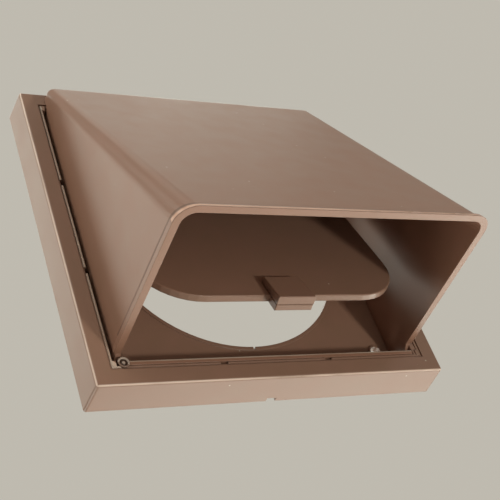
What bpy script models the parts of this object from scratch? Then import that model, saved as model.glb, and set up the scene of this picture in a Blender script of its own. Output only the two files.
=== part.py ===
# Wall vent cowl: a back plate on the wall, a surround frame snapped over it, a clip-on hood
# with its mouth facing down, and a backdraught flap that swings on a pin behind the hood's lip.
# Metres, +Z up, the wall is the plane y = 0 and the cowl stands out of it towards -Y.
# The origin is the middle of the duct hole in the wall plane.
from math import copysign, cos, hypot, pi, radians, sin

import bmesh
import bpy
from mathutils import Matrix, Vector

GAP = 0.0003                # clearance between two pieces that touch
EMBED = 0.0006              # how far a feature is sunk into the wall that it is moulded on
OVERSHOOT = 0.006           # how far a cutter reaches past what it cuts
FACING = 0.3                # least share of a direction that counts as facing or running that way

# Surround frame
FRAME_DEPTH = 0.0148        # wall to front face
FRAME_DRAFT = 0.0008        # how far each side leans in from the wall to the front
FRAME_WALL = 0.0020
FRAME_FACE_THICKNESS = 0.0020
FRAME_FACE_WIDTH = 0.0067   # flat front band round the window
FRAME_EDGE_RADIUS = 0.0009
WINDOW_LIP_WALL = 0.0012    # return wall round the window, behind the front face
WINDOW_LIP_DEPTH = 0.0050
WEEP_WIDTH = 0.0040
WEEP_HEIGHT = 0.0018
HOOK_LENGTH = 0.0080        # frame hooks that snap behind the plate's edge
HOOK_REACH = 0.0010
HOOK_THICKNESS = 0.0009
HOOK_PITCH = 0.0700

# Back plate
PLATE_THICKNESS = 0.0024
PLATE_CLEARANCE = 0.0004    # plate edge to the frame's skirt
DUCT_DIAMETER = 0.1030
SEAT_WIDTH = 0.0014         # raised seat round the duct hole
SEAT_HEIGHT = 0.0004
DRAIN_NICK = 0.0010
RIM_WALL = 0.0007           # thin wall that stands up inside the frame's window
RIM_CLEARANCE = 0.0007
RIM_DROP = 0.0002           # rim's edge below the frame's face
SLOT_PITCH = 0.0452         # relief slots that free a spring tongue in the middle of each rim side
SLOT_WIDTH = 0.0030
POST_REACH = 0.0012         # square post in each corner of the rim, level with the frame's face
POST_LENGTH = 0.0021
CATCH_LENGTH = 0.0200
CATCH_REACH = 0.0012
CATCH_HEIGHT = 0.0012
FIXING_INSET = 0.0101       # fixing hole to the rim's two sides in each corner
FIXING_HOLE = 0.0050
BOSS_DIAMETER = 0.0066
BOSS_HEIGHT = 0.0005

# Hood
HOOD_WALL = 0.0020
HOOD_PROJECTION = 0.0862    # wall to the lip
HOOD_DRAFT = 0.00155        # how far each cheek leans in from the plate to the lip
HOOD_HEEL_RISE = 0.0049     # mouth above the hood's lower end, at the frame's face
HOOD_LIP_RISE = 0.0097      # mouth above the hood's lower end, at the lip
HOOD_NOTCH = 0.0058         # how deep the cheek is cut away below the heel
HOOD_RIDGE = 0.0206         # wall to the ridge at the top
HOOD_SETBACK = 0.0017       # ridge below the top of the frame's front face
HOOD_RADIUS = 0.0030        # outer rounding of the long edges at the ridge
HOOD_LIP_RADIUS = 0.0070    # and at the lip
HOOD_BEND_STEPS = 6
MOUTH_CLEAR = 0.0300        # how far the mouth's cutters reach past the lip and below the foot
BEAD_WIDTH = 0.0020         # thicker band round the mouth
BEAD_PROUD = 0.0008
SILL_WALL = 0.0017          # low wall that joins the cheeks under the mouth
FOOT_WIDTH = 0.0014         # foot flange outside each cheek, held under the catches
FOOT_HEIGHT = 0.0020
FOOT_SETBACK = 0.0058       # foot flange short of the cheek's ends

# Flap and its hinge
FLAP_OPEN = radians(15.1)   # how far it stands open at rest
FLAP_SIDE_COVER = 0.0041    # overlap past the duct hole at each side
FLAP_FOOT_COVER = 0.0044
FLAP_DEPTH = 0.0027
FLAP_WALL = 0.0015
FLAP_CORNER = 0.0220
FLAP_CORNER_STEPS = 10
FLAP_EDGE_RADIUS = 0.0005
FLAP_SEAT_GAP = 0.0005      # shut flap to plate
FLAP_HEAD_GAP = 0.0035      # hinge axis to the flap's upper edge
HINGE_RISE = 0.0110         # hinge axis above the duct hole
HINGE_STANDOFF = 0.0056     # hinge axis in front of the plate
HINGE_SPAN = 0.0480         # between the two knuckles
KNUCKLE_WIDTH = 0.0080
KNUCKLE_RADIUS = 0.0027
EAR_THICKNESS = 0.0025
EAR_RADIUS = 0.0030
EAR_HEAD_CLEARANCE = 0.0006 # ear to the rim above it
EAR_SIDE_CLEARANCE = 0.0004
PIN_DIAMETER = 0.0020
PIN_OVERHANG = 0.0010
PIN_CHAMFER = 0.0002

# Pull tab on the flap's lower edge
TAB_WIDTH = 0.0158
TAB_RISE = 0.0081           # above the flap's lower edge
TAB_DROP = 0.0059           # below it
TAB_HEAD = 0.0028           # proud of the flap at its upper end
TAB_PROUD = 0.0037          # proud of the flap at its toe
TAB_EDGE_RADIUS = 0.0003
TAB_PEG_DIAMETER = 0.0022
TAB_PEG_PITCH = 0.0080
TAB_PEG_HEAD = 0.0040
TAB_PEG_HEAD_HEIGHT = 0.0008

ROUND_STEPS = 24            # sides of a small round feature
DUCT_STEPS = 96
EDGE_STEPS = 3              # segments of a small rounded edge
SMOOTH_ANGLE = radians(32)  # edges sharper than this stay sharp

# Places that follow from the sizes above, from the duct hole outwards
ductRadius = DUCT_DIAMETER / 2
hingeHeight = ductRadius + HINGE_RISE
hingeOut = PLATE_THICKNESS + HINGE_STANDOFF
rimInner = hingeHeight + EAR_RADIUS + EAR_HEAD_CLEARANCE
rimOuter = rimInner + RIM_WALL
rimTop = FRAME_DEPTH - RIM_DROP
windowHalf = rimOuter + RIM_CLEARANCE
faceHalf = windowHalf + FRAME_FACE_WIDTH
frameHalf = faceHalf + FRAME_DRAFT
skirtInner = frameHalf - FRAME_WALL - FRAME_DRAFT * PLATE_THICKNESS / FRAME_DEPTH
plateHalf = skirtInner - PLATE_CLEARANCE
fixingAt = rimInner - FIXING_INSET

hoodFoot = PLATE_THICKNESS + GAP
hoodReach = rimInner - GAP
hoodHalf = hoodReach - FOOT_WIDTH
hoodTop = faceHalf - HOOD_SETBACK
hoodSeat = FRAME_DEPTH + GAP
hoodLean = HOOD_DRAFT / (HOOD_PROJECTION - hoodFoot)
lipHeight = -hoodReach + HOOD_LIP_RISE
heelHeight = -hoodReach + HOOD_HEEL_RISE

flapHalf = ductRadius + FLAP_SIDE_COVER
flapLength = hingeHeight + ductRadius + FLAP_FOOT_COVER
flapBack = HINGE_STANDOFF - FLAP_SEAT_GAP      # flap's open side behind the hinge axis
flapFace = flapBack - FLAP_DEPTH               # flap's front face behind the hinge axis
pegHeight = -flapLength + TAB_RISE / 2         # tab's pegs, from the hinge axis
pinBore = PIN_DIAMETER + 2 * GAP
earOffset = KNUCKLE_WIDTH / 2 + EAR_SIDE_CLEARANCE + EAR_THICKNESS / 2


def clearScene():
    for item in list(bpy.data.objects):
        bpy.data.objects.remove(item, do_unlink=True)
    for group in list(bpy.data.collections):
        bpy.data.collections.remove(group)


def makeCollection(name):
    group = bpy.data.collections.new(name)
    bpy.context.scene.collection.children.link(group)
    return group


def makeMaterial(name, colour, roughness, metallic=0.0):
    material = bpy.data.materials.new(name)
    material.use_nodes = True
    shader = material.node_tree.nodes["Principled BSDF"]
    shader.inputs["Base Color"].default_value = (*colour, 1.0)
    shader.inputs["Roughness"].default_value = roughness
    shader.inputs["Metallic"].default_value = metallic
    material.diffuse_color = (*colour, 1.0)
    return material


def makeObject(name, bm, group, material=None, parent=None):
    mesh = bpy.data.meshes.new(name)
    bm.to_mesh(mesh)
    bm.free()
    item = bpy.data.objects.new(name, mesh)
    group.objects.link(item)
    item.parent = parent
    if material:
        mesh.materials.append(material)
    return item


def makePiece(name, bm, material, parent=None):
    return makeObject(name, bm, pieces, material, parent)


def makeTool(name, bm, parent=None):
    tool = makeObject(name, bm, cutters, None, parent)
    tool.hide_render = True
    tool.display_type = "WIRE"
    return tool


def combine(item, tool, operation):
    step = item.modifiers.new(tool.name, "BOOLEAN")
    step.operation = operation
    step.solver = "EXACT"
    step.object = tool


def addBlock(bm, low, high):
    size = [b - a for a, b in zip(low, high)]
    middle = [(a + b) / 2 for a, b in zip(low, high)]
    place = Matrix.Translation(middle) @ Matrix.Diagonal((*size, 1.0))
    bmesh.ops.create_cube(bm, size=1.0, matrix=place)


def blocks(*boxes):
    bm = bmesh.new()
    for low, high in boxes:
        addBlock(bm, low, high)
    bm.normal_update()
    return bm


def frustum(backHalf, frontHalf, backAt, frontAt):
    # square block between two planes out of the wall, with leaning sides
    bm = bmesh.new()
    turn = Matrix.Rotation(pi / 2, 4, "X") @ Matrix.Rotation(pi / 4, 4, "Z")
    place = Matrix.Translation((0, -(backAt + frontAt) / 2, 0)) @ turn
    bmesh.ops.create_cone(bm, cap_ends=True, segments=4, radius1=backHalf * 2 ** 0.5,
                          radius2=frontHalf * 2 ** 0.5, depth=frontAt - backAt, matrix=place)
    return bm


def rods(radius, ends, steps=ROUND_STEPS):
    bm = bmesh.new()
    for start, end in ends:
        along = Vector(end) - Vector(start)
        middle = (Vector(start) + Vector(end)) / 2
        place = Matrix.Translation(middle) @ along.to_track_quat("Z", "X").to_matrix().to_4x4()
        bmesh.ops.create_cone(bm, cap_ends=True, segments=steps, radius1=radius, radius2=radius,
                              depth=along.length, matrix=place)
    return bm


def prism(outline, left, right):
    # side outline given as (out of the wall, height), swept across from left to right
    bm = bmesh.new()
    face = bm.faces.new([bm.verts.new((left, -out, height)) for out, height in outline])
    swept = bmesh.ops.extrude_face_region(bm, geom=[face])
    moved = [v for v in swept["geom"] if isinstance(v, bmesh.types.BMVert)]
    bmesh.ops.translate(bm, verts=moved, vec=(right - left, 0, 0))
    bmesh.ops.recalc_face_normals(bm, faces=bm.faces)
    return bm


def bevelEdges(bm, edges, width, steps):
    bmesh.ops.bevel(bm, geom=edges, offset=width, offset_type="OFFSET", segments=steps,
                    profile=0.5, affect="EDGES", clamp_overlap=True)


def mirrored(values):
    return [side * value for value in values for side in (-1, 1)]


def makeSurroundFrame(material):
    body = frustum(frameHalf, faceHalf, 0, FRAME_DEPTH)
    nearFront = [e for e in body.edges if max(v.co.y for v in e.verts) < -FRAME_DEPTH / 2]
    corners = [e for e in body.edges if abs(e.verts[0].co.y - e.verts[1].co.y) > FRAME_DEPTH / 2]
    bevelEdges(body, nearFront + corners, FRAME_EDGE_RADIUS, EDGE_STEPS)
    frame = makePiece("surround_frame", body, material)

    skirtBack = frameHalf - FRAME_WALL
    lean = FRAME_DRAFT / FRAME_DEPTH
    channelEnd = FRAME_DEPTH - FRAME_FACE_THICKNESS
    channel = frustum(skirtBack + lean * OVERSHOOT, skirtBack - lean * channelEnd, -OVERSHOOT, channelEnd)
    combine(frame, makeTool("frame_channel", channel), "DIFFERENCE")

    lipHalf = windowHalf + WINDOW_LIP_WALL
    lipBack = channelEnd - WINDOW_LIP_DEPTH
    lip = blocks(((-lipHalf, -channelEnd - EMBED, -lipHalf), (lipHalf, -lipBack, lipHalf)))
    combine(frame, makeTool("frame_window_lip", lip), "UNION")
    window = blocks(((-windowHalf, -FRAME_DEPTH - OVERSHOOT, -windowHalf),
                     (windowHalf, OVERSHOOT, windowHalf)))
    combine(frame, makeTool("frame_window", window), "DIFFERENCE")

    hooks = []
    for along in mirrored([HOOK_PITCH / 2]):
        for side in (-1, 1):
            across = sorted((side * (skirtInner - HOOK_REACH), side * (skirtInner + EMBED)))
            run = (along - HOOK_LENGTH / 2, along + HOOK_LENGTH / 2)
            hooks.append(((across[0], -HOOK_THICKNESS, run[0]), (across[1], 0, run[1])))
            hooks.append(((run[0], -HOOK_THICKNESS, across[0]), (run[1], 0, across[1])))
    combine(frame, makeTool("frame_hooks", blocks(*hooks)), "UNION")

    weep = blocks(((-WEEP_WIDTH / 2, -WEEP_HEIGHT, -frameHalf - OVERSHOOT),
                   (WEEP_WIDTH / 2, OVERSHOOT, -frameHalf + FRAME_WALL + EMBED)))
    combine(frame, makeTool("frame_weep", weep), "DIFFERENCE")
    return frame


def earOutline(radius, foot):
    # a post with a round head about the hinge axis, standing on the plate
    steps = ROUND_STEPS // 2
    head = [(hingeOut + radius * sin(pi * i / steps), hingeHeight + radius * cos(pi * i / steps))
            for i in range(steps + 1)]
    return [(foot, hingeHeight + radius)] + head + [(foot, hingeHeight - radius)]


def makeBackPlate(material):
    plate = makePiece("back_plate", blocks(((-plateHalf, -PLATE_THICKNESS, -plateHalf),
                                            (plateHalf, 0, plateHalf))), material)
    sunk = PLATE_THICKNESS - EMBED
    rim = makeTool("plate_rim", blocks(((-rimOuter, -rimTop, -rimOuter), (rimOuter, -sunk, rimOuter))))
    well = blocks(((-rimInner, -rimTop - OVERSHOOT, -rimInner), (rimInner, OVERSHOOT, rimInner)))
    combine(rim, makeTool("plate_rim_well", well), "DIFFERENCE")
    slots = []
    slotFloor = PLATE_THICKNESS - EMBED / 2
    for along in mirrored([SLOT_PITCH / 2]):
        for side in (-1, 1):
            across = sorted((side * (rimInner - EMBED), side * (rimOuter + EMBED)))
            run = (along - SLOT_WIDTH / 2, along + SLOT_WIDTH / 2)
            slots.append(((across[0], -rimTop - OVERSHOOT, run[0]), (across[1], -slotFloor, run[1])))
            slots.append(((run[0], -rimTop - OVERSHOOT, across[0]), (run[1], -slotFloor, across[1])))
    combine(rim, makeTool("plate_rim_slots", blocks(*slots)), "DIFFERENCE")
    posts = []
    postSide = rimInner + RIM_WALL / 2
    for side in (-1, 1):
        for rise in (-1, 1):
            across = sorted((side * (rimInner - POST_REACH), side * postSide))
            run = sorted((rise * (rimInner - POST_LENGTH), rise * postSide))
            posts.append(((across[0], -FRAME_DEPTH, run[0]), (across[1], -sunk, run[1])))
    combine(rim, makeTool("plate_rim_posts", blocks(*posts)), "UNION")
    combine(plate, rim, "UNION")

    catchBack = hoodFoot + FOOT_HEIGHT + GAP
    catches = [((min(a, b), -catchBack - CATCH_HEIGHT, -CATCH_LENGTH / 2),
                (max(a, b), -catchBack, CATCH_LENGTH / 2))
               for a, b in ((side * (rimInner - CATCH_REACH), side * (rimInner + RIM_WALL / 2))
                            for side in (-1, 1))]
    combine(plate, makeTool("plate_catches", blocks(*catches)), "UNION")

    seatEnds = [((0, -sunk, 0), (0, -PLATE_THICKNESS - SEAT_HEIGHT, 0))]
    seat = rods(ductRadius + SEAT_WIDTH, seatEnds, DUCT_STEPS)
    combine(plate, makeTool("plate_seat", seat), "UNION")
    spots = [(x, z) for x in (-fixingAt, fixingAt) for z in (-fixingAt, fixingAt)]
    bossEnds = [((x, -sunk, z), (x, -PLATE_THICKNESS - BOSS_HEIGHT, z)) for x, z in spots]
    combine(plate, makeTool("plate_bosses", rods(BOSS_DIAMETER / 2, bossEnds)), "UNION")

    for station in mirrored([HINGE_SPAN / 2]):
        for side in (-1, 1):
            middle = station + side * earOffset
            ear = prism(earOutline(EAR_RADIUS, sunk), middle - EAR_THICKNESS / 2, middle + EAR_THICKNESS / 2)
            combine(plate, makeTool("plate_ear", ear), "UNION")

    farBack, farFront = OVERSHOOT, -rimTop - OVERSHOOT
    duct = rods(ductRadius, [((0, farBack, 0), (0, farFront, 0))], DUCT_STEPS)
    combine(plate, makeTool("plate_duct_hole", duct), "DIFFERENCE")
    fixingEnds = [((x, farBack, z), (x, -PLATE_THICKNESS - OVERSHOOT, z)) for x, z in spots]
    combine(plate, makeTool("plate_fixing_holes", rods(FIXING_HOLE / 2, fixingEnds)), "DIFFERENCE")
    bore = rods(pinBore / 2, [((-plateHalf, -hingeOut, hingeHeight), (plateHalf, -hingeOut, hingeHeight))])
    combine(plate, makeTool("plate_pin_bore", bore), "DIFFERENCE")
    nick = blocks(((-DRAIN_NICK / 2, -PLATE_THICKNESS - OVERSHOOT, -ductRadius - DRAIN_NICK),
                   (DRAIN_NICK / 2, farBack, -ductRadius + EMBED)))
    combine(plate, makeTool("plate_drain_nick", nick), "DIFFERENCE")

    pockets = []
    pocketDepth = HOOK_REACH + PLATE_CLEARANCE
    for along in mirrored([HOOK_PITCH / 2]):
        for side in (-1, 1):
            across = sorted((side * (plateHalf - pocketDepth), side * (plateHalf + OVERSHOOT)))
            run = (along - HOOK_LENGTH / 2 - GAP, along + HOOK_LENGTH / 2 + GAP)
            deep = -HOOK_THICKNESS - GAP
            pockets.append(((across[0], deep, run[0]), (across[1], OVERSHOOT, run[1])))
            pockets.append(((run[0], deep, across[0]), (run[1], OVERSHOOT, across[1])))
    combine(plate, makeTool("plate_hook_pockets", blocks(*pockets)), "DIFFERENCE")
    return plate


def hoodSkin(outward):
    # open skin of the hood: back, sloping top and two leaning cheeks; the edges between them are
    # rounded, more and more from the ridge to the lip
    slopeOut, slopeDown = HOOD_PROJECTION - HOOD_RIDGE, hoodTop - lipHeight
    length = hypot(slopeOut, slopeDown)
    along = (slopeOut / length, -slopeDown / length)
    normal = (-along[1] * outward, along[0] * outward)
    ridge = (HOOD_RIDGE + normal[0], hoodTop + normal[1])
    lip = (HOOD_PROJECTION + along[0] * OVERSHOOT + normal[0],
           lipHeight + along[1] * OVERSHOOT + normal[1])
    outline = [(hoodFoot, hoodTop), ridge, lip, (hoodFoot, -hoodReach - MOUTH_CLEAR)]
    half = hoodHalf + outward
    bm = prism(outline, -half, half)
    for v in bm.verts:
        v.co.x -= copysign(hoodLean * (-v.co.y - hoodFoot), v.co.x)
    openSides = [f for f in bm.faces if f.normal.z < -FACING or f.normal.y > FACING]
    bmesh.ops.delete(bm, geom=openSides, context="FACES_ONLY")
    bmesh.ops.delete(bm, geom=[e for e in bm.edges if not e.link_faces], context="EDGES")
    folds = [e for e in bm.edges if len(e.link_faces) == 2]
    bevelEdges(bm, folds, HOOD_RADIUS + outward, HOOD_BEND_STEPS)

    widen = (HOOD_LIP_RADIUS + outward) / (HOOD_RADIUS + outward)
    lipHalf = half - hoodLean * (lip[0] - hoodFoot)
    for v in [v for v in bm.verts if -v.co.y > (HOOD_RIDGE + HOOD_PROJECTION) / 2]:
        corner = Vector((copysign(lipHalf, v.co.x), -lip[0], lip[1]))
        v.co = corner + (v.co - corner) * widen
    return bm


def thicken(item, thickness):
    step = item.modifiers.new("wall", "SOLIDIFY")
    step.thickness = thickness
    step.offset = -1
    step.use_even_offset = True


def makeCowlHood(material):
    hood = makePiece("cowl_hood", hoodSkin(0), material)
    thicken(hood, HOOD_WALL)
    lip = (HOOD_PROJECTION, lipHeight)
    heel = (FRAME_DEPTH, heelHeight)
    reach = hypot(lip[0] - heel[0], lip[1] - heel[1])
    mouth = ((lip[0] - heel[0]) / reach, (lip[1] - heel[1]) / reach)
    past = (lip[0] + mouth[0] * MOUTH_CLEAR, lip[1] + mouth[1] * MOUTH_CLEAR)
    low = -hoodReach - MOUTH_CLEAR - OVERSHOOT

    bead = makeTool("hood_bead", hoodSkin(BEAD_PROUD))
    thicken(bead, BEAD_PROUD + HOOD_WALL / 2)
    inward = (-mouth[1] * BEAD_WIDTH, mouth[0] * BEAD_WIDTH)
    start = (heel[0] + GAP, heel[1])
    band = prism([(end[0] + side * inward[0], end[1] + side * inward[1])
                  for end, side in ((start, 1), (past, 1), (past, -1), (start, -1))], -frameHalf, frameHalf)
    combine(bead, makeTool("hood_bead_band", band), "INTERSECT")
    combine(hood, bead, "UNION")

    cheekEnd = -hoodReach + SILL_WALL / 2
    mouthCut = prism([(-OVERSHOOT, cheekEnd), (FRAME_DEPTH - HOOD_NOTCH, cheekEnd), heel, past,
                      (past[0], low), (-OVERSHOOT, low)], -frameHalf, frameHalf)
    combine(hood, makeTool("hood_mouth", mouthCut), "DIFFERENCE")
    overFrame = blocks(((-frameHalf, -hoodSeat, hoodReach), (frameHalf, OVERSHOOT, frameHalf + OVERSHOOT)))
    combine(hood, makeTool("hood_over_frame", overFrame), "DIFFERENCE")
    sillHalf = hoodHalf - HOOD_WALL / 2
    sill = blocks(((-sillHalf, -rimTop, -hoodReach), (sillHalf, -hoodFoot, -hoodReach + SILL_WALL)))
    combine(hood, makeTool("hood_sill", sill), "UNION")
    footHalf = hoodReach - FOOT_SETBACK
    feet = [((min(a, b), -hoodFoot - FOOT_HEIGHT, -footHalf), (max(a, b), -hoodFoot, footHalf))
            for a, b in ((side * (hoodHalf - EMBED), side * hoodReach) for side in (-1, 1))]
    combine(hood, makeTool("hood_feet", blocks(*feet)), "UNION")
    return hood


def makeHinge():
    hinge = bpy.data.objects.new("flap_hinge_axis", None)
    pieces.objects.link(hinge)
    hinge.location = (0, -hingeOut, hingeHeight)
    hinge.rotation_euler = (-FLAP_OPEN, 0, 0)
    return hinge


def roundedPanel(inset, front, back):
    # the flap's outline, drawn in by inset, between two planes behind the hinge axis
    bm = blocks(((-flapHalf + inset, front, -flapLength + inset),
                 (flapHalf - inset, back, -FLAP_HEAD_GAP - inset)))
    upright = [e for e in bm.edges if abs((e.verts[0].co - e.verts[1].co).normalized().y) > FACING]
    bevelEdges(bm, upright, FLAP_CORNER - inset, FLAP_CORNER_STEPS)
    return bm


def makeFlap(material, hinge):
    # the flap is drawn shut, about its hinge axis, and hangs from the hinge empty
    bm = roundedPanel(0, flapFace, flapBack)
    front = [e for e in bm.edges if all(v.co.y < flapFace + GAP for v in e.verts)]
    bevelEdges(bm, front, FLAP_EDGE_RADIUS, EDGE_STEPS)
    flap = makePiece("flap", bm, material, hinge)
    hollow = roundedPanel(FLAP_WALL, flapFace + FLAP_WALL, flapBack + OVERSHOOT)
    combine(flap, makeTool("flap_hollow", hollow, hinge), "DIFFERENCE")

    for station in mirrored([HINGE_SPAN / 2]):
        left, right = station - KNUCKLE_WIDTH / 2, station + KNUCKLE_WIDTH / 2
        arm = blocks(((left, 0, -FLAP_HEAD_GAP - FLAP_WALL + GAP), (right, flapFace + FLAP_WALL + EMBED, 0)))
        combine(flap, makeTool("flap_arm", arm, hinge), "UNION")
        knuckle = rods(KNUCKLE_RADIUS, [((left, 0, 0), (right, 0, 0))])
        combine(flap, makeTool("flap_knuckle", knuckle, hinge), "UNION")
    bore = rods(pinBore / 2, [((-flapHalf, 0, 0), (flapHalf, 0, 0))])
    combine(flap, makeTool("flap_pin_bore", bore, hinge), "DIFFERENCE")

    tongue = blocks(((-TAB_WIDTH / 2, flapFace, -flapLength - TAB_DROP),
                     (TAB_WIDTH / 2, flapBack, -flapLength + EMBED)))
    bevelEdges(tongue, [e for e in tongue.edges if all(v.co.z < -flapLength for v in e.verts)],
               TAB_EDGE_RADIUS, 1)
    combine(flap, makeTool("flap_tongue", tongue, hinge), "UNION")
    holeEnds = [((x, flapFace - OVERSHOOT, pegHeight), (x, flapBack, pegHeight))
                for x in mirrored([TAB_PEG_PITCH / 2])]
    combine(flap, makeTool("flap_peg_holes", rods(TAB_PEG_DIAMETER / 2 + GAP, holeEnds), hinge), "DIFFERENCE")
    return flap


def makePullTab(material, hinge):
    # wedge on the flap's face, thickest at its flat toe, held by two staked pegs
    face = -flapFace
    top, toe = -flapLength + TAB_RISE, -flapLength - TAB_DROP
    outline = [(face + GAP, top), (face + TAB_HEAD, top), (face + TAB_PROUD, toe), (face + GAP, toe)]
    bm = prism(outline, -TAB_WIDTH / 2, TAB_WIDTH / 2)
    front = [e for e in bm.edges if all(v.co.y < flapFace - 2 * GAP for v in e.verts)]
    bevelEdges(bm, front, TAB_EDGE_RADIUS, EDGE_STEPS)
    tab = makePiece("flap_pull_tab", bm, material, hinge)
    headAt = flapFace + FLAP_WALL + GAP
    ends = [((x, flapFace - TAB_HEAD / 2, pegHeight), (x, headAt + TAB_PEG_HEAD_HEIGHT / 2, pegHeight))
            for x in mirrored([TAB_PEG_PITCH / 2])]
    combine(tab, makeTool("tab_pegs", rods(TAB_PEG_DIAMETER / 2, ends), hinge), "UNION")
    heads = [((x, headAt, pegHeight), (x, headAt + TAB_PEG_HEAD_HEIGHT, pegHeight))
             for x in mirrored([TAB_PEG_PITCH / 2])]
    combine(tab, makeTool("tab_peg_heads", rods(TAB_PEG_HEAD / 2, heads), hinge), "UNION")
    return tab


def makeHingePin(material):
    reach = HINGE_SPAN / 2 + earOffset + EAR_THICKNESS / 2 + PIN_OVERHANG
    bm = rods(PIN_DIAMETER / 2, [((-reach, 0, 0), (reach, 0, 0))])
    ends = [e for e in bm.edges if abs(e.verts[0].co.x - e.verts[1].co.x) < EMBED]
    bevelEdges(bm, ends, PIN_CHAMFER, 1)
    pin = makePiece("flap_hinge_pin", bm, material)
    pin.location = (0, -hingeOut, hingeHeight)
    return pin


def roundOff(item):
    item.data.shade_smooth()
    item.data.set_sharp_from_angle(angle=SMOOTH_ANGLE)


clearScene()
pieces = makeCollection("wall_vent_cowl")
cutters = makeCollection("cutters")
brown = makeMaterial("brown plastic", (0.210, 0.110, 0.073), 0.36)
steel = makeMaterial("stainless steel", (0.56, 0.55, 0.53), 0.30, 1.0)

makeSurroundFrame(brown)
makeBackPlate(brown)
makeCowlHood(brown)
hinge = makeHinge()
makeFlap(brown, hinge)
makePullTab(brown, hinge)
makeHingePin(steel)
for item in pieces.objects:
    if item.type == "MESH":
        roundOff(item)
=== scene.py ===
from math import cos, radians, sin

import bmesh
import bpy
from mathutils import Matrix, Vector


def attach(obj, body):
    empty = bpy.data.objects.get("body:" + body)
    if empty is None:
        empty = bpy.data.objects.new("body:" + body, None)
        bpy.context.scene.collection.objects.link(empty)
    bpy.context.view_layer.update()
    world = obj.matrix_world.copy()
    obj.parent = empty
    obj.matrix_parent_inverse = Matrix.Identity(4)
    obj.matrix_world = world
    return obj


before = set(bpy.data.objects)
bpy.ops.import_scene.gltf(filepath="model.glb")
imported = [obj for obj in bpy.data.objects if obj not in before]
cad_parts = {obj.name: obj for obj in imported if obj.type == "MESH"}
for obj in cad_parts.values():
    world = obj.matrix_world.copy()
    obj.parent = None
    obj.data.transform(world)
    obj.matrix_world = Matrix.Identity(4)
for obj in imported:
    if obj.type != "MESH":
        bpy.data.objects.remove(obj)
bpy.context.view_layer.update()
print("frame loaded:", ", ".join(sorted(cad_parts)))


def direction(around, above):
    # from the cowl outwards: 0, 0 is straight out of the wall, degrees
    turn, rise = radians(around), radians(above)
    return Vector((sin(turn) * cos(rise), -cos(turn) * cos(rise), sin(rise)))


def keepObject(name, bm, material):
    mesh = bpy.data.meshes.new(name)
    bm.to_mesh(mesh)
    bm.free()
    item = bpy.data.objects.new(name, mesh)
    bpy.context.scene.collection.objects.link(item)
    mesh.materials.append(material)
    return item


def link(tree, start, end):
    tree.links.new(start, end)


def mathNode(tree, operation, first, second=None):
    node = tree.nodes.new("ShaderNodeMath")
    node.operation = operation
    for socket, value in zip(node.inputs, (first, second)):
        if isinstance(value, (int, float)):
            socket.default_value = value
        elif value is not None:
            link(tree, value, socket)
    return node.outputs[0]


def vectorNode(tree, operation, first, second):
    node = tree.nodes.new("ShaderNodeVectorMath")
    node.operation = operation
    for socket, value in zip(node.inputs, (first, second)):
        if isinstance(value, tuple):
            socket.default_value = value
        else:
            link(tree, value, socket)
    return node.outputs["Value" if operation == "DOT_PRODUCT" else "Vector"]


def rampNode(tree, value, low, high, start=0.0, end=1.0):
    node = tree.nodes.new("ShaderNodeMapRange")
    node.inputs["From Min"].default_value = low
    node.inputs["From Max"].default_value = high
    node.inputs["To Min"].default_value = start
    node.inputs["To Max"].default_value = end
    link(tree, value, node.inputs["Value"])
    return node.outputs["Result"]


def mixNode(tree, share, first, second):
    # first where share is 0, second (a number or a colour) where it is 1
    node = tree.nodes.new("ShaderNodeMix")
    if isinstance(second, tuple):
        node.data_type = "RGBA"
        pair = [socket for socket in node.inputs if socket.type == "RGBA"]
        pair[1].default_value = (*second, 1)
    else:
        pair = [socket for socket in node.inputs if socket.type == "VALUE"][1:]
        pair[1].default_value = second
    link(tree, first, pair[0])
    link(tree, share, node.inputs["Factor"])
    return [socket for socket in node.outputs if socket.type == pair[0].type][0]


def betweenColours(tree, share, s):
    # the darker colour where share is 0, the other one where it is 1
    node = tree.nodes.new("ShaderNodeMix")
    node.data_type = "RGBA"
    node.inputs["A"].default_value = (*s["darker"], 1)
    node.inputs["B"].default_value = (*s["colour"], 1)
    link(tree, share, node.inputs["Factor"])
    return node.outputs["Result"]


def seenByLens(tree):
    # 1 for a ray from the lens, also after a mirror or a pane of glass
    path = tree.nodes.new("ShaderNodeLightPath")
    either = mathNode(tree, "MAXIMUM", path.outputs["Is Camera Ray"], path.outputs["Is Glossy Ray"])
    return mathNode(tree, "MAXIMUM", either, path.outputs["Is Transmission Ray"])


# the camera stands where the photograph was taken from
cameraSettings = {
    "place": (-0.20625, -0.31215, -0.26955),
    "azimuth": -35.61,      # degrees round the cowl, 0 looks straight at the wall
    "elevation": -35.20,    # the lens is below the cowl and looks up
    "roll": -21.585,
    "lens": 78.6,           # mm
    "sensor": 36,           # mm
    "nearest": 0.01,        # anything closer to the lens is left out, m
}


def makeCamera(s):
    back = direction(s["azimuth"], s["elevation"])
    lens = bpy.data.cameras.new("photoCamera")
    lens.lens = s["lens"]
    lens.sensor_width = s["sensor"]
    lens.clip_start = s["nearest"]
    camera = bpy.data.objects.new("photoCamera", lens)
    bpy.context.scene.collection.objects.link(camera)
    level = (-back).to_track_quat("-Z", "Y").to_matrix().to_4x4()
    tilt = Matrix.Rotation(radians(s["roll"]), 4, "Z")
    camera.matrix_world = Matrix.Translation(s["place"]) @ level @ tilt
    bpy.context.scene.camera = camera


makeCamera(cameraSettings)
print("camera placed")

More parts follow.
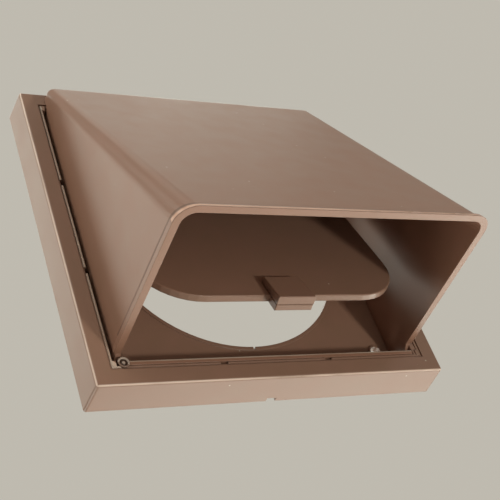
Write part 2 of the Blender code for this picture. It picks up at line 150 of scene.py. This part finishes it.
# pale floor and backdrop, with soft lamps all round
studioSettings = {
    "floorHeight": -0.85,
    "floorSize": 6.0,
    "floorColour": (0.46, 0.45, 0.435),
    "floorRoughness": 0.9,
    "floorShown": 0.37,                 # how pale the lens sees it where no lamp reaches
    "backdrop": (0.520, 0.492, 0.430),  # what the lens sees behind the cowl
    "skyColour": (1.0, 0.97, 0.90),
    "skyLevel": 0.115,                  # light from all round
    "lampColour": (1.0, 1.0, 0.887),
    "lampDistance": 1.10,
    "lampAim": (0, -0.03, 0),
    "lamps": {
        # name: degrees round the cowl, degrees above it, size in m, watts
        "rightLow": (105, -32, 0.70, 7.8),
        "rightBackLow": (147, -30, 0.70, 3.5),
        "leftBackLow": (-147, -25, 0.70, 7.4),
        "frontLow": (5, -30, 0.70, 1.7),
        "leftFront": (-60, 12, 0.70, 3.5),
        "leftHigh": (-75, 45, 0.70, 3.6),
        "frontHigh": (-30, 45, 0.70, 3.3),
        "leftBack": (-147, 38, 0.70, 1.6),
        "backTop": (180, 45, 0.70, 1.5),
        "rightBackTop": (140, 45, 0.70, 1.0),
        "topBack": (128, 56, 0.30, 0.42),
        "topBackHigh": (135, 66, 0.30, 0.19),
        "over": (90, 85, 0.40, 0.4),
        "keyLow": (24, -41, 0.10, 4.6),
    },
}


def makeStudio(s):
    scene = bpy.context.scene
    scene.view_settings.view_transform = "Standard"
    world = bpy.data.worlds.new("paleStudio")
    scene.world = world
    world.use_nodes = True
    tree = world.node_tree
    tree.nodes.clear()
    output = tree.nodes.new("ShaderNodeOutputWorld")
    light = tree.nodes.new("ShaderNodeBackground")
    light.inputs["Color"].default_value = (*s["skyColour"], 1)
    light.inputs["Strength"].default_value = s["skyLevel"]
    seen = tree.nodes.new("ShaderNodeBackground")
    seen.inputs["Color"].default_value = (*s["backdrop"], 1)
    mix = tree.nodes.new("ShaderNodeMixShader")
    for start, end in zip((seenByLens(tree), light.outputs[0], seen.outputs[0]), mix.inputs):
        link(tree, start, end)
    link(tree, mix.outputs[0], output.inputs["Surface"])

    bm = bmesh.new()
    bmesh.ops.create_grid(bm, x_segments=1, y_segments=1, size=s["floorSize"] / 2,
                          matrix=Matrix.Translation((0, 0, s["floorHeight"])))
    paint = bpy.data.materials.new("paleFloor")
    paint.use_nodes = True
    tree = paint.node_tree
    shader = tree.nodes["Principled BSDF"]
    shader.inputs["Base Color"].default_value = (*s["floorColour"], 1)
    shader.inputs["Roughness"].default_value = s["floorRoughness"]
    shader.inputs["Emission Color"].default_value = (*s["backdrop"], 1)
    glow = mathNode(tree, "MULTIPLY", seenByLens(tree), s["floorShown"] / s["backdrop"][0])
    link(tree, glow, shader.inputs["Emission Strength"])
    keepObject("floor", bm, paint)

    for name, (around, above, size, watts) in s["lamps"].items():
        lamp = bpy.data.lights.new(name, "AREA")
        lamp.shape = "DISK"
        lamp.size = size
        lamp.energy = watts
        lamp.color = s["lampColour"]
        item = bpy.data.objects.new(name, lamp)
        scene.collection.objects.link(item)
        item.location = direction(around, above) * s["lampDistance"]
        item.rotation_mode = "QUATERNION"
        item.rotation_quaternion = (Vector(s["lampAim"]) - item.location).to_track_quat("-Z", "Y")
        item.visible_camera = False


makeStudio(studioSettings)
print("studio lit")

# the brown satin plastic of every moulding
plasticSettings = {
    "colour": (0.247, 0.134, 0.0985),
    "darker": (0.213, 0.125, 0.0845),
    "roughness": 0.36,
    "specular": 0.37,
    "roughnessSpread": 0.07,
    "mottle": 90,           # blotches, 1 / m
    "mottleDetail": 4,
    "grain": 2600,          # moulded grain, 1 / m
    "grainDetail": 2,
    "grainDepth": 0.000012,
    "shiftWay": (1.0, 0.7, 1.3),    # the way the pattern moves from one moulding to the next
    "edgeRound": 0.00035,   # how round the sharp edges look
    "edgeSamples": 6,
    "paintedLightBreakup": 45,             # how often a painted highlight or shadow fades and returns, 1 / m
    "paintedLightBreakupFrom": 0.36,       # noise at which it is weakest
    "paintedLightBreakupTo": 0.58,         # and strongest
    "paintedLightBreakupLeast": 0.5,       # what is left of it where it is weakest
    "speckSpacing": 190,    # dust specks, 1 / m
    "speckSize": 0.075,     # share of that spacing
    "speckCore": 0.6,       # share of the size inside its soft edge
    "speckShare": 0.86,     # how many are left out
    "speckColour": (0.46, 0.39, 0.32),
}

# painted highlights and a painted shadow on the plastic, each where the longest reach along the directions
# (with an offset, m) lies from near to far, in front of a plane, and on faces that look away from the cowl's
# middle where outside is set
markEdge = 0.0002       # how soft a mark's edge is, m
cowlMiddle = (0, -0.03, 0)
toLeft, toLow = ((-1, 0, 0), 0.0), ((0, 0, -1), 0.0)
fromMouth = ((0, 0.0671, 0.9978), 0.06176)      # height above the hood's mouth
leftLowCorner = ((-0.7071, 0, -0.7071), 0.0)
paintedLightMarks = {
    "surround_frame": [
        # painted highlight along the frame's left and lower front edges
        {"along": [toLeft, toLow], "near": 0.0736, "far": 0.0760, "front": 0.0141, "gloss": 0.20,
         "colour": (0.62, 0.46, 0.385)}],
    "back_plate": [
        # painted highlight on the front edge of the plate's rim, on its left run only
        {"along": [toLeft], "near": 0.0660, "far": 0.0674, "front": 0.0142, "gloss": 0.25,
         "colour": (0.36, 0.27, 0.21)},
        # painted highlight on the lower left corner of the plate's rim
        {"along": [leftLowCorner], "near": 0.0918, "far": 0.0960, "front": 0.0142, "gloss": 0.25,
         "colour": (0.50, 0.38, 0.31)}],
    "cowl_hood": [
        # painted highlight along the front edge of the hood's sill
        {"along": [toLow], "near": 0.0637, "far": 0.0647, "front": 0.0142, "gloss": 0.25,
         "colour": (0.42, 0.33, 0.27)},
        # painted highlight on the outer edge of the bead round the hood's mouth, near its lip
        {"along": [fromMouth], "near": 0.0003, "far": 0.0018, "front": 0.0790, "gloss": 0.22, "outside": True,
         "colour": (0.60, 0.36, 0.27)},
        # painted shadow on the outside of the hood, just behind the mouth's bead
        {"along": [fromMouth], "near": 0.0031, "far": 0.0043, "front": 0.0200, "gloss": 0.50, "outside": True,
         "colour": (0.160, 0.085, 0.058)}],
}


def markMask(tree, place, mark):
    # 1 where the mark lies, 0 elsewhere
    parts = tree.nodes.new("ShaderNodeSeparateXYZ")
    link(tree, place.outputs["Object"], parts.inputs[0])
    out = mathNode(tree, "MULTIPLY", parts.outputs["Y"], -1.0)
    mask = rampNode(tree, out, mark["front"], mark["front"] + markEdge)
    reach = None
    for way, offset in mark["along"]:
        length = vectorNode(tree, "DOT_PRODUCT", place.outputs["Object"], way)
        length = mathNode(tree, "ADD", length, offset)
        reach = length if reach is None else mathNode(tree, "MAXIMUM", reach, length)
    if reach is not None:
        for edge, width in ((mark["near"], markEdge), (mark["far"], -markEdge)):
            mask = mathNode(tree, "MULTIPLY", mask, rampNode(tree, reach, edge, edge + width))
    if mark.get("outside"):
        fromMiddle = vectorNode(tree, "SUBTRACT", place.outputs["Object"], cowlMiddle)
        facing = vectorNode(tree, "DOT_PRODUCT", fromMiddle, place.outputs["Normal"])
        mask = mathNode(tree, "MULTIPLY", mask, mathNode(tree, "GREATER_THAN", facing, 0.0))
    return mask


def speckMask(tree, place, s):
    # small round specks of dust, with most of them left out
    cells = tree.nodes.new("ShaderNodeTexVoronoi")
    cells.inputs["Scale"].default_value = s["speckSpacing"]
    link(tree, place, cells.inputs["Vector"])
    parts = tree.nodes.new("ShaderNodeSeparateColor")
    link(tree, cells.outputs["Color"], parts.inputs[0])
    picked = mathNode(tree, "GREATER_THAN", parts.outputs[0], s["speckShare"])
    near = rampNode(tree, cells.outputs["Distance"], s["speckSize"], s["speckSize"] * s["speckCore"])
    return mathNode(tree, "MULTIPLY", picked, near)


def makePlastic(name, s, shift, marked=()):
    material = bpy.data.materials.new(name)
    material.use_nodes = True
    tree = material.node_tree
    shader = tree.nodes["Principled BSDF"]
    shader.inputs["Specular IOR Level"].default_value = s["specular"]
    place = tree.nodes.new("ShaderNodeTexCoord")
    moved = tree.nodes.new("ShaderNodeMapping")
    moved.inputs["Location"].default_value = Vector(s["shiftWay"]) * shift
    link(tree, place.outputs["Object"], moved.inputs["Vector"])

    mottle = tree.nodes.new("ShaderNodeTexNoise")
    mottle.inputs["Scale"].default_value = s["mottle"]
    mottle.inputs["Detail"].default_value = s["mottleDetail"]
    link(tree, moved.outputs[0], mottle.inputs["Vector"])
    tone = betweenColours(tree, mottle.outputs["Fac"], s)
    gloss = rampNode(tree, mottle.outputs["Fac"], 0, 1, s["roughness"] - s["roughnessSpread"],
                     s["roughness"] + s["roughnessSpread"])
    tone = mixNode(tree, speckMask(tree, moved.outputs[0], s), tone, s["speckColour"])
    # painted highlights and shadows fade in and out along their length with a noise
    if marked:
        paintedLightNoise = tree.nodes.new("ShaderNodeTexNoise")
        paintedLightNoise.inputs["Scale"].default_value = s["paintedLightBreakup"]
        link(tree, moved.outputs[0], paintedLightNoise.inputs["Vector"])
        paintedLightBreakup = rampNode(tree, paintedLightNoise.outputs["Fac"], s["paintedLightBreakupFrom"], s["paintedLightBreakupTo"], s["paintedLightBreakupLeast"], 1.0)
    # each painted highlight or shadow is laid over the plastic's colour and roughness
    for mark in marked:
        share = mathNode(tree, "MULTIPLY", markMask(tree, place, mark), paintedLightBreakup)
        tone = mixNode(tree, share, tone, mark["colour"])
        gloss = mixNode(tree, share, gloss, mark["gloss"])
    link(tree, tone, shader.inputs["Base Color"])
    link(tree, gloss, shader.inputs["Roughness"])

    grain = tree.nodes.new("ShaderNodeTexNoise")
    grain.inputs["Scale"].default_value = s["grain"]
    grain.inputs["Detail"].default_value = s["grainDetail"]
    link(tree, moved.outputs[0], grain.inputs["Vector"])
    rounding = tree.nodes.new("ShaderNodeBevel")
    rounding.samples = s["edgeSamples"]
    rounding.inputs["Radius"].default_value = s["edgeRound"]
    facing = rounding.outputs["Normal"]
    if "bendRound" in s:
        wide = tree.nodes.new("ShaderNodeBevel")
        wide.samples = s["bendSamples"]
        wide.inputs["Radius"].default_value = s["bendRound"]
        blend = tree.nodes.new("ShaderNodeMix")
        blend.data_type = "VECTOR"
        ends = [socket for socket in blend.inputs if socket.type == "VECTOR" and socket.enabled]
        link(tree, facing, ends[0])
        link(tree, wide.outputs["Normal"], ends[1])
        link(tree, markMask(tree, place, s["bends"]), blend.inputs["Factor"])
        facing = [socket for socket in blend.outputs if socket.type == "VECTOR"][0]
    bump = tree.nodes.new("ShaderNodeBump")
    bump.inputs["Distance"].default_value = s["grainDepth"]
    link(tree, grain.outputs["Fac"], bump.inputs["Height"])
    link(tree, facing, bump.inputs["Normal"])
    link(tree, bump.outputs["Normal"], shader.inputs["Normal"])
    return material


# the hood is a shade redder, and its bends are smoothed
hoodSettings = {
    **plasticSettings,
    "colour": (0.260, 0.129, 0.0890),
    "darker": (0.222, 0.119, 0.0770),
    "bendRound": 0.0022,    # evens out the facets of the hood's bends
    "bendSamples": 8,
    "bends": {"along": [fromMouth], "near": 0.0060, "far": 0.2000, "front": 0.0175, "outside": True},
}
patternStep = 0.37      # shift from one moulding to the next, so that no two look alike

for order, node in enumerate(("surround_frame", "back_plate", "cowl_hood", "flap", "flap_pull_tab")):
    settings = hoodSettings if node == "cowl_hood" else plasticSettings
    finish = makePlastic(node + "_plastic", settings, order * patternStep, paintedLightMarks.get(node, ()))
    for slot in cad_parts[node].material_slots:
        slot.material = finish

# the bright wire of the hinge pin
steelSettings = {
    "colour": (0.56, 0.55, 0.53),
    "darker": (0.42, 0.41, 0.39),
    "roughness": 0.22,
    "roughnessSpread": 0.10,
    "drawn": 900,           # fine lines along the wire, 1 / m
    "stretch": (0.02, 1, 1),
    "drawnDepth": 0.000006,
}


def makeSteel(name, s):
    material = bpy.data.materials.new(name)
    material.use_nodes = True
    tree = material.node_tree
    shader = tree.nodes["Principled BSDF"]
    shader.inputs["Metallic"].default_value = 1.0
    place = tree.nodes.new("ShaderNodeTexCoord")
    stretched = tree.nodes.new("ShaderNodeMapping")
    stretched.inputs["Scale"].default_value = s["stretch"]
    link(tree, place.outputs["Object"], stretched.inputs["Vector"])
    lines = tree.nodes.new("ShaderNodeTexNoise")
    lines.inputs["Scale"].default_value = s["drawn"]
    link(tree, stretched.outputs[0], lines.inputs["Vector"])
    link(tree, betweenColours(tree, lines.outputs["Fac"], s), shader.inputs["Base Color"])
    gloss = rampNode(tree, lines.outputs["Fac"], 0, 1, s["roughness"] - s["roughnessSpread"],
                     s["roughness"] + s["roughnessSpread"])
    link(tree, gloss, shader.inputs["Roughness"])
    bump = tree.nodes.new("ShaderNodeBump")
    bump.inputs["Distance"].default_value = s["drawnDepth"]
    link(tree, lines.outputs["Fac"], bump.inputs["Height"])
    link(tree, bump.outputs["Normal"], shader.inputs["Normal"])
    return material


steel = makeSteel("drawn_steel", steelSettings)
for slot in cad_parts["flap_hinge_pin"].material_slots:
    slot.material = steel
print("finishes made")

mergeDistance = 0.000001    # points closer than this become one, m


def spinProfile(bm, centre, profile, steps):
    # radius and height out of the wall, from one point on the axis to the other, spun right round
    points = [bm.verts.new((centre[0] + radius, -out, centre[1])) for radius, out in profile]
    edges = [bm.edges.new(pair) for pair in zip(points, points[1:])]
    bmesh.ops.spin(bm, geom=[*points, *edges], cent=(centre[0], 0, centre[1]), axis=(0, -1, 0),
                   angle=radians(360), steps=steps, use_merge=True)
    bmesh.ops.remove_doubles(bm, verts=bm.verts, dist=mergeDistance)
    bmesh.ops.recalc_face_normals(bm, faces=bm.faces)


def makeRound(name, s, finish):
    bm = bmesh.new()
    spinProfile(bm, s["middle"], s["profile"], s["steps"])
    piece = keepObject(name, bm, finish)
    for side in piece.data.polygons:
        side.use_smooth = True
    edges = piece.modifiers.new("softEdges", "BEVEL")
    edges.width = s["round"]
    edges.segments = s["roundSteps"]
    edges.limit_method = "ANGLE"
    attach(piece, "cowl")


# hollow stub at the left end of the hood's sill, with a pip in it
cornerRing = {
    "middle": (-0.0621, -0.0649),   # across, up
    "profile": [(0, 0.0136), (0.00215, 0.0136), (0.00218, 0.0150), (0.00208, 0.0153), (0.00164, 0.0153),
                (0.00155, 0.0152), (0.00150, 0.01466), (0.00085, 0.01464), (0.00062, 0.0149), (0, 0.0151)],
    "steps": 40,
    "round": 0.00010,
    "roundSteps": 2,
    "shift": 2.1,
    "colour": (0.045, 0.023, 0.015),    # painted shade of the hollow, over the whole ring
    "paintedLightMarks": [
        # the face of the rim and of the pip keeps a plain plastic tone, above the painted shade
        {"along": [], "front": 0.0148, "gloss": 0.35, "colour": (0.20, 0.125, 0.095)},
        # painted highlight on the upper part of the rim
        {"along": [((0.35, 0, 0.94), 0.08274)], "near": -0.0006, "far": 0.0060, "front": 0.0148,
         "gloss": 0.30, "colour": (0.40, 0.31, 0.26)}],
}
# the ring's plastic is painted dark as the shade in its hollow
ringPaintedShadeSettings = {**plasticSettings, "colour": cornerRing["colour"], "darker": cornerRing["colour"]}
ringPlastic = makePlastic("painted_shade_ring_plastic", ringPaintedShadeSettings, cornerRing["shift"], cornerRing["paintedLightMarks"])
makeRound("corner_ring", cornerRing, ringPlastic)

# cap that closes the left fixing hole
holeCap = {
    "middle": (-0.0560, -0.0560),
    "profile": [(0, 0.0008), (0.00235, 0.0008), (0.00235, 0.0030), (0.00270, 0.0031), (0.00262, 0.0034),
                (0.00170, 0.0037), (0, 0.0038)],
    "steps": 32,
    "round": 0.00008,
    "roundSteps": 2,
    "shift": 2.7,
}
capPlastic = makePlastic("hole_cap_plastic", plasticSettings, holeCap["shift"])
makeRound("hole_cap", holeCap, capPlastic)

# square ledge outside the plate's rim, which closes its gap to the frame
rimLedges = {
    "half": 0.06755,        # middle of the cowl to the ledge's outer side
    "width": 0.00080,
    "front": 0.01385,       # wall to the ledge's face
    "depth": 0.0016,
    "raised": 0.00045,      # how much further out it stands, but for its upper left corner
    "shift": 3.3,
}


def makeRimLedges(s):
    bm = bmesh.new()
    upright = Matrix.Translation((0, -s["front"], 0)) @ Matrix.Rotation(radians(90), 4, "X")
    made = bmesh.ops.create_grid(bm, x_segments=1, y_segments=1, size=s["half"], matrix=upright)
    middle = made["verts"][0].link_faces[:]
    border = bmesh.ops.inset_individual(bm, faces=middle, thickness=s["width"], use_even_offset=True)["faces"]
    bmesh.ops.delete(bm, geom=middle, context="FACES_KEEP_BOUNDARY")
    grown = bmesh.ops.extrude_face_region(bm, geom=border, use_keep_orig=True)["geom"]
    back = [v for v in grown if isinstance(v, bmesh.types.BMVert)]
    bmesh.ops.translate(bm, verts=back, vec=(0, s["depth"], 0))
    front = [v for v in bm.verts if v.co.y < -s["front"] + s["depth"] / 2]
    further = [v for v in front if v.co.x > 0 or v.co.z < 0]
    bmesh.ops.translate(bm, verts=further, vec=(0, -s["raised"], 0))
    bmesh.ops.recalc_face_normals(bm, faces=bm.faces)
    piece = keepObject("rim_ledges", bm, makePlastic("rim_ledges_plastic", plasticSettings, s["shift"]))
    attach(piece, "cowl")


makeRimLedges(rimLedges)

# web between the right cheek's foot, the sill's end and the plate's rim
cornerWeb = {
    "across": (0.0638, 0.06612),
    "up": (-0.0660, -0.0555),
    "out": (0.0110, 0.01450),
    "lean": 0.0006,                 # how much nearer the wall its upper end lies
    "round": 0.00015,
    "roundSteps": 3,
    "shift": 3.9,
}


def makeCornerWeb(s):
    bm = bmesh.new()
    size = [high - low for low, high in (s["across"], s["out"], s["up"])]
    middle = (sum(s["across"]) / 2, -sum(s["out"]) / 2, sum(s["up"]) / 2)
    bmesh.ops.create_cube(bm, size=1, matrix=Matrix.Translation(middle) @ Matrix.Diagonal((*size, 1)))
    upper = [v for v in bm.verts if v.co.z > middle[2] and v.co.y < middle[1]]
    bmesh.ops.translate(bm, verts=upper, vec=(0, s["lean"], 0))
    bmesh.ops.bevel(bm, geom=bm.edges[:], offset=s["round"], offset_type="OFFSET", affect="EDGES",
                    segments=s["roundSteps"], profile=0.5, material=-1, clamp_overlap=True)
    piece = keepObject("corner_web", bm, makePlastic("corner_web_plastic", plasticSettings, s["shift"]))
    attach(piece, "cowl")


makeCornerWeb(cornerWeb)
print("small mouldings made")
